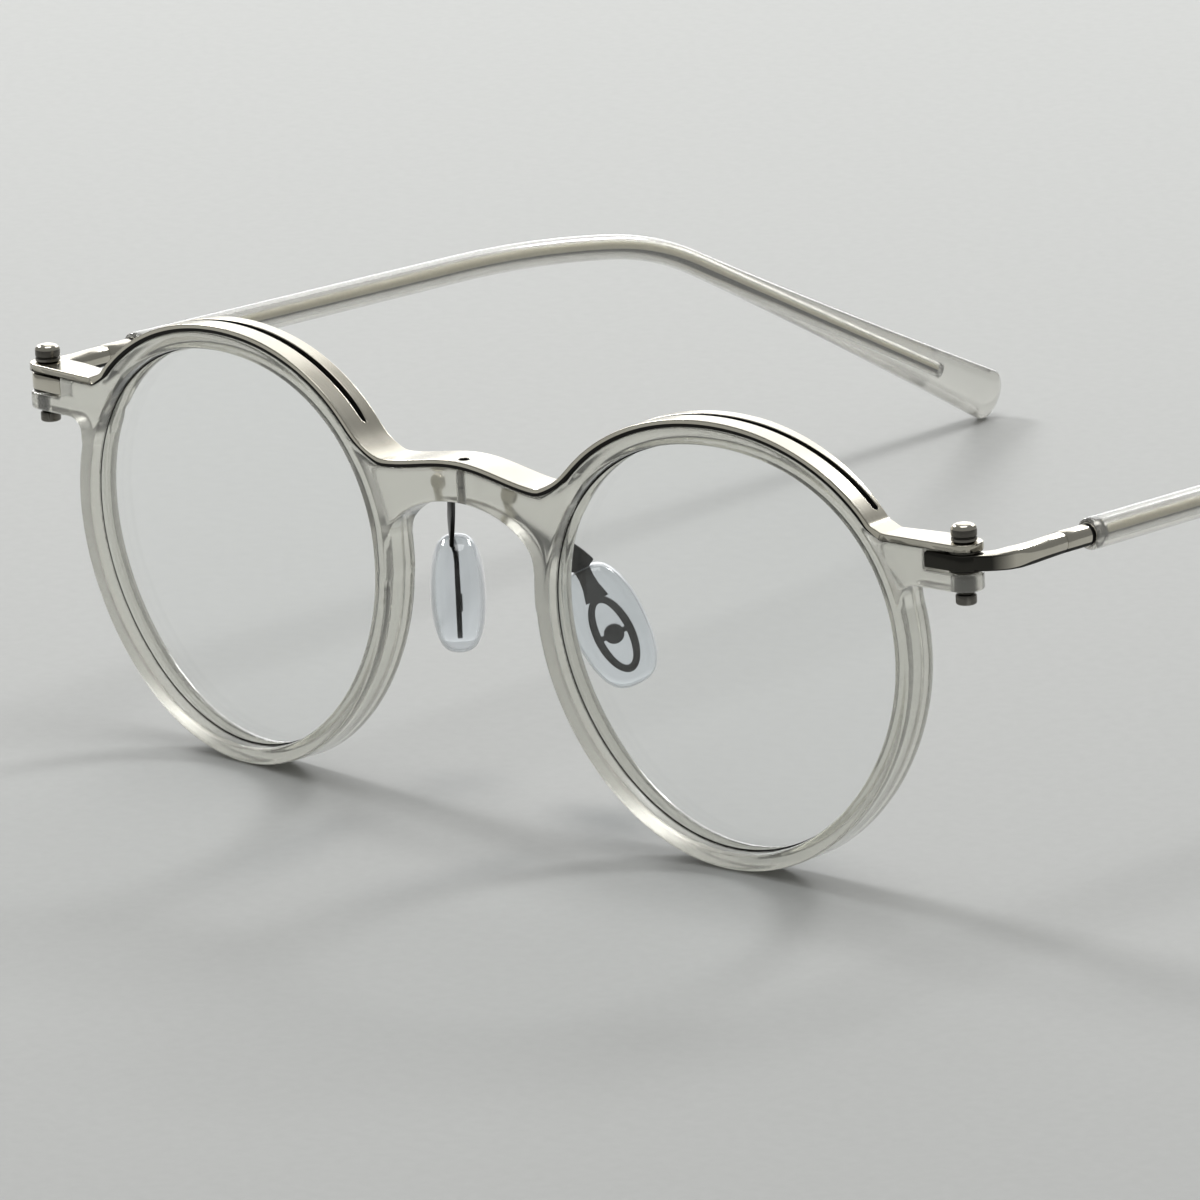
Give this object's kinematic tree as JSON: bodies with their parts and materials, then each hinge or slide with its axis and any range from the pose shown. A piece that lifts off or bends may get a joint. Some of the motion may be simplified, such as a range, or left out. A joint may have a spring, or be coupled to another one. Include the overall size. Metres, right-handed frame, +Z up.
{
  "type": "round reading glasses",
  "caption": "Round reading glasses: clear acetate rims under a slim metal brow bar, silicone nose pads and metal temples in clear sleeves that fold on bolted hinges.",
  "frame": {"origin": "middle of the part's box on the table top that it stands on, below the middle of the nose", "axes": "+X to the right as seen from the front, +Y back along the temples, +Z up; the front faces -Y"},
  "size_m": [0.1354, 0.152, 0.0459],
  "materials": {
    "clear_acetate": "polished clear acetate with a faint warm grey tint",
    "lens": "clear polished lens",
    "titanium_bar": "satin brushed titanium",
    "titanium_arm": "polished titanium",
    "washer_metal": "turned washer and bush",
    "dark_steel": "dark plated steel",
    "pad_arm_metal": "dark plated strip",
    "clear_silicone": "clear soft silicone"
  },
  "bodies": {
    "front": {"acetate_front": "clear_acetate", "brow_bar": "titanium_bar", "lens_left": "lens", "lens_right": "lens", "bridge_screw": "dark_steel", "hinge_bolt_left": "dark_steel", "hinge_bolt_right": "dark_steel", "hinge_nut_left": "dark_steel", "hinge_nut_right": "dark_steel", "upper_washer_left": "washer_metal", "upper_washer_right": "washer_metal", "lower_washer_left": "washer_metal", "lower_washer_right": "washer_metal", "lug_bush_left": "washer_metal", "lug_bush_right": "washer_metal", "pad_arm_left": "pad_arm_metal", "pad_arm_right": "pad_arm_metal", "pad_rivet_left": "dark_steel", "pad_rivet_right": "dark_steel", "nose_pad_left": "clear_silicone", "nose_pad_right": "clear_silicone"},
    "temple_left": {"temple_arm_left": "titanium_arm", "temple_collar_left": "titanium_arm", "temple_sleeve_left": "clear_acetate"},
    "temple_right": {"temple_arm_right": "titanium_arm", "temple_collar_right": "titanium_arm", "temple_sleeve_right": "clear_acetate"}
  },
  "joints": [
    {"name": "temple_left_fold", "type": "hinge", "parent": "front", "child": "temple_left", "pos_m": [-0.06353, -0.07041, 0.0355], "axis": [0, 0, -1], "range_deg": [0, 88]},
    {"name": "temple_right_fold", "type": "hinge", "parent": "front", "child": "temple_right", "pos_m": [0.06353, -0.07041, 0.0355], "axis": [0, 0, 1], "range_deg": [0, 80]}
  ]
}
